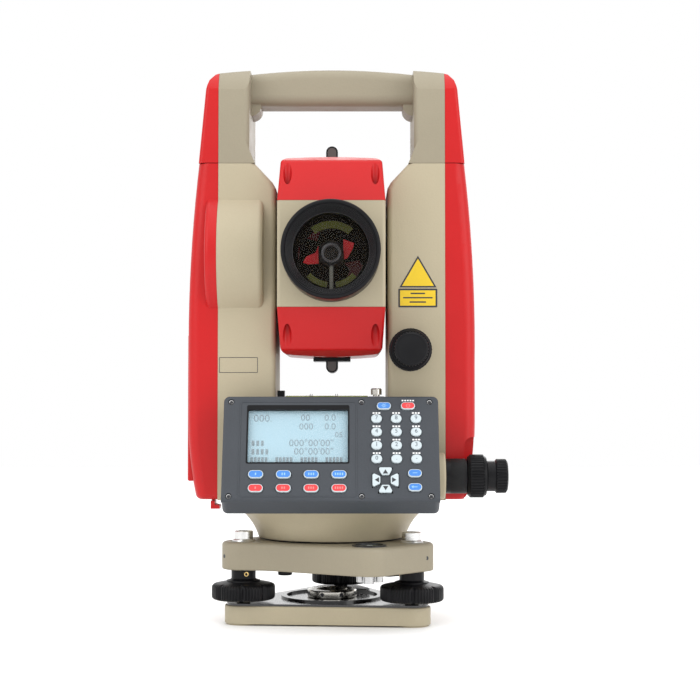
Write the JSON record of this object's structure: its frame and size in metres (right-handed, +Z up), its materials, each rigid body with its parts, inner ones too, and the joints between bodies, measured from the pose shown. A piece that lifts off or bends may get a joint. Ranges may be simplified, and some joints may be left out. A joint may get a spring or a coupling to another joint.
{
  "type": "surveying total station",
  "caption": "Electronic total station on a three-screw levelling base, with a tilting telescope between two standards, a slanted keyboard and a carrying handle.",
  "frame": {"origin": "centre of the tripod thread, in the plane of the levelling base's feet", "axes": "+Z up along the vertical axis, -Y to the keyboard side, +X to the side of the horizontal tangent screw"},
  "size_m": [0.1846, 0.1546, 0.3268],
  "materials": {
    "alidade_base": "fine textured enamel",
    "arrow_keys": "satin",
    "axis_socket": "satin black",
    "axis_spindle": "ground",
    "base_plate": "fine textured enamel",
    "battery_latch": "semi-gloss",
    "battery_pack": "semi-gloss",
    "carrying_handle": "fine textured enamel",
    "case_screws": "blackened",
    "circular_vial_cup": "turned",
    "circular_vial_glass": "polished",
    "command_keys": "satin",
    "display_panel": "display",
    "display_window": "coated",
    "edm_tube": "black",
    "eyepiece_lens": "coated",
    "eyepiece_ring": "ribbed",
    "eyepiece_tube": "black",
    "focus_ring": "ribbed",
    "foot_screw_bushes": "turned",
    "foot_screw_left": "satin moulding on steel",
    "foot_screw_rear": "satin moulding on steel",
    "foot_screw_right": "satin moulding on steel",
    "function_keys": "satin",
    "handle_caps": "semi-gloss",
    "horizontal_circle": "polished",
    "horizontal_clamp_ring": "knurled black",
    "horizontal_sleeve": "satin black",
    "horizontal_tangent_knob": "knurled black",
    "keyboard_case": "fine texture",
    "left_cover": "semi-gloss",
    "left_standard": "fine textured enamel",
    "lock_lever": "satin black",
    "mode_keys": "satin",
    "number_keys": "satin",
    "objective_cell": "black",
    "objective_lens": "coated",
    "plate_vial_adjuster": "plated",
    "plate_vial_glass": "polished",
    "plate_vial_holder": "black",
    "plummet_focus_ring": "ribbed",
    "plummet_tube": "black",
    "power_key": "satin",
    "rear_cover": "fine textured enamel",
    "right_cover": "semi-gloss",
    "right_standard": "fine textured enamel",
    "sights": "black",
    "spring_plate": "gloss black sheet",
    "telescope_block": "fine textured enamel",
    "telescope_bottom_cover": "semi-gloss",
    "telescope_top_cover": "semi-gloss",
    "tribrach_head": "fine textured enamel",
    "tripod_nut": "nickel plate",
    "trunnion_bearings": "black bush",
    "trunnion_shafts": "ground",
    "vertical_circle": "polished",
    "vertical_clamp_ring": "knurled black",
    "vertical_sleeve": "satin black",
    "vertical_tangent_knob": "knurled black",
    "vial_adjusting_screws": "plated"
  },
  "bodies": {
    "tribrach": {"base_plate": "base_plate", "spring_plate": "spring_plate", "tripod_nut": "tripod_nut", "tribrach_head": "tribrach_head", "foot_screw_bushes": "foot_screw_bushes", "circular_vial_cup": "circular_vial_cup", "circular_vial_glass": "circular_vial_glass", "vial_adjusting_screws": "vial_adjusting_screws", "axis_socket": "axis_socket", "horizontal_circle": "horizontal_circle"},
    "alidade": {"alidade_base": "alidade_base", "axis_spindle": "axis_spindle", "carrying_handle": "carrying_handle", "case_screws": "case_screws", "display_panel": "display_panel", "display_window": "display_window", "handle_caps": "handle_caps", "horizontal_sleeve": "horizontal_sleeve", "keyboard_case": "keyboard_case", "left_cover": "left_cover", "left_standard": "left_standard", "plate_vial_adjuster": "plate_vial_adjuster", "plate_vial_glass": "plate_vial_glass", "plate_vial_holder": "plate_vial_holder", "plummet_tube": "plummet_tube", "rear_cover": "rear_cover", "right_cover": "right_cover", "right_standard": "right_standard", "trunnion_bearings": "trunnion_bearings", "vertical_sleeve": "vertical_sleeve"},
    "telescope": {"telescope_block": "telescope_block", "telescope_top_cover": "telescope_top_cover", "telescope_bottom_cover": "telescope_bottom_cover", "objective_cell": "objective_cell", "objective_lens": "objective_lens", "edm_tube": "edm_tube", "eyepiece_tube": "eyepiece_tube", "eyepiece_lens": "eyepiece_lens", "sights": "sights", "trunnion_shafts": "trunnion_shafts", "vertical_circle": "vertical_circle"},
    "foot_screw_left": {"foot_screw_left": "foot_screw_left"},
    "foot_screw_right": {"foot_screw_right": "foot_screw_right"},
    "foot_screw_rear": {"foot_screw_rear": "foot_screw_rear"},
    "lock_lever": {"lock_lever": "lock_lever"},
    "battery_pack": {"battery_pack": "battery_pack"},
    "battery_latch": {"battery_latch": "battery_latch"},
    "horizontal_clamp_ring": {"horizontal_clamp_ring": "horizontal_clamp_ring"},
    "horizontal_tangent_knob": {"horizontal_tangent_knob": "horizontal_tangent_knob"},
    "vertical_clamp_ring": {"vertical_clamp_ring": "vertical_clamp_ring"},
    "vertical_tangent_knob": {"vertical_tangent_knob": "vertical_tangent_knob"},
    "plummet_focus_ring": {"plummet_focus_ring": "plummet_focus_ring"},
    "focus_ring": {"focus_ring": "focus_ring"},
    "eyepiece_ring": {"eyepiece_ring": "eyepiece_ring"},
    "power_key": {"power_key": "power_key"},
    "command_keys": {"command_keys": "command_keys"},
    "number_keys": {"number_keys": "number_keys"},
    "arrow_keys": {"arrow_keys": "arrow_keys"},
    "function_keys": {"function_keys": "function_keys"},
    "mode_keys": {"mode_keys": "mode_keys"}
  },
  "joints": [
    {"name": "foot_screw_left_turn", "type": "hinge", "parent": "tribrach", "child": "foot_screw_left", "pos_m": [-0.05121, -0.02388, 0.02], "axis": [0, 0, 1], "range_deg": [-720, 720]},
    {"name": "foot_screw_right_turn", "type": "hinge", "parent": "tribrach", "child": "foot_screw_right", "pos_m": [0.04628, -0.03241, 0.02], "axis": [0, 0, 1], "range_deg": [-720, 720]},
    {"name": "foot_screw_rear_turn", "type": "hinge", "parent": "tribrach", "child": "foot_screw_rear", "pos_m": [0.00492, 0.05629, 0.02], "axis": [0, 0, 1], "range_deg": [-720, 720]},
    {"name": "lock_lever_turn", "type": "hinge", "parent": "tribrach", "child": "lock_lever", "pos_m": [0.0316, -0.01, 0.028], "axis": [0, 0, 1], "range_deg": [-20, 30]},
    {"name": "alidade_rotation", "type": "hinge", "parent": "tribrach", "child": "alidade", "pos_m": [0, 0, 0.05], "axis": [0, 0, 1], "continuous": true},
    {"name": "telescope_tilt", "type": "hinge", "parent": "alidade", "child": "telescope", "pos_m": [0, 0, 0.213], "axis": [1, 0, 0], "continuous": true},
    {"name": "horizontal_clamp_turn", "type": "hinge", "parent": "alidade", "child": "horizontal_clamp_ring", "pos_m": [0.083, -0.0425, 0.0862], "axis": [1, 0, 0], "range_deg": [0, 90]},
    {"name": "horizontal_tangent_turn", "type": "hinge", "parent": "alidade", "child": "horizontal_tangent_knob", "pos_m": [0.095, -0.0425, 0.0862], "axis": [1, 0, 0], "range_deg": [-1440, 1440]},
    {"name": "vertical_clamp_turn", "type": "hinge", "parent": "alidade", "child": "vertical_clamp_ring", "pos_m": [0.045, -0.048, 0.158], "axis": [0, -1, 0], "range_deg": [0, 90]},
    {"name": "vertical_tangent_turn", "type": "hinge", "parent": "alidade", "child": "vertical_tangent_knob", "pos_m": [0.045, -0.06, 0.158], "axis": [0, -1, 0], "range_deg": [-1440, 1440]},
    {"name": "focus_turn", "type": "hinge", "parent": "telescope", "child": "focus_ring", "pos_m": [0, 0.056, 0.213], "axis": [0, 1, 0], "range_deg": [-300, 300]},
    {"name": "eyepiece_turn", "type": "hinge", "parent": "telescope", "child": "eyepiece_ring", "pos_m": [0, 0.073, 0.213], "axis": [0, 1, 0], "range_deg": [-180, 180]},
    {"name": "plummet_focus_turn", "type": "hinge", "parent": "alidade", "child": "plummet_focus_ring", "pos_m": [0, 0.055, 0.096], "axis": [0, 1, 0], "range_deg": [-180, 180]},
    {"name": "battery_slide", "type": "slide", "parent": "alidade", "child": "battery_pack", "axis": [-1, 0, 0], "range_m": [0, 0.03]},
    {"name": "battery_latch_turn", "type": "hinge", "parent": "alidade", "child": "battery_latch", "pos_m": [-0.069, -0.021, 0.069], "axis": [0, 0, 1], "range_deg": [0, 25]},
    {"name": "power_key_press", "type": "slide", "parent": "alidade", "child": "power_key", "axis": [0, 0.9361, -0.3518], "range_m": [0, 0.0008], "stiffness_N_per_m": 400},
    {"name": "command_keys_press", "type": "slide", "parent": "alidade", "child": "command_keys", "axis": [0, 0.9361, -0.3518], "range_m": [0, 0.0008], "stiffness_N_per_m": 400},
    {"name": "number_keys_press", "type": "slide", "parent": "alidade", "child": "number_keys", "axis": [0, 0.9361, -0.3518], "range_m": [0, 0.0008], "stiffness_N_per_m": 400},
    {"name": "arrow_keys_press", "type": "slide", "parent": "alidade", "child": "arrow_keys", "axis": [0, 0.9361, -0.3518], "range_m": [0, 0.0008], "stiffness_N_per_m": 400},
    {"name": "function_keys_press", "type": "slide", "parent": "alidade", "child": "function_keys", "axis": [0, 0.9361, -0.3518], "range_m": [0, 0.0008], "stiffness_N_per_m": 400},
    {"name": "mode_keys_press", "type": "slide", "parent": "alidade", "child": "mode_keys", "axis": [0, 0.9361, -0.3518], "range_m": [0, 0.0008], "stiffness_N_per_m": 400}
  ]
}
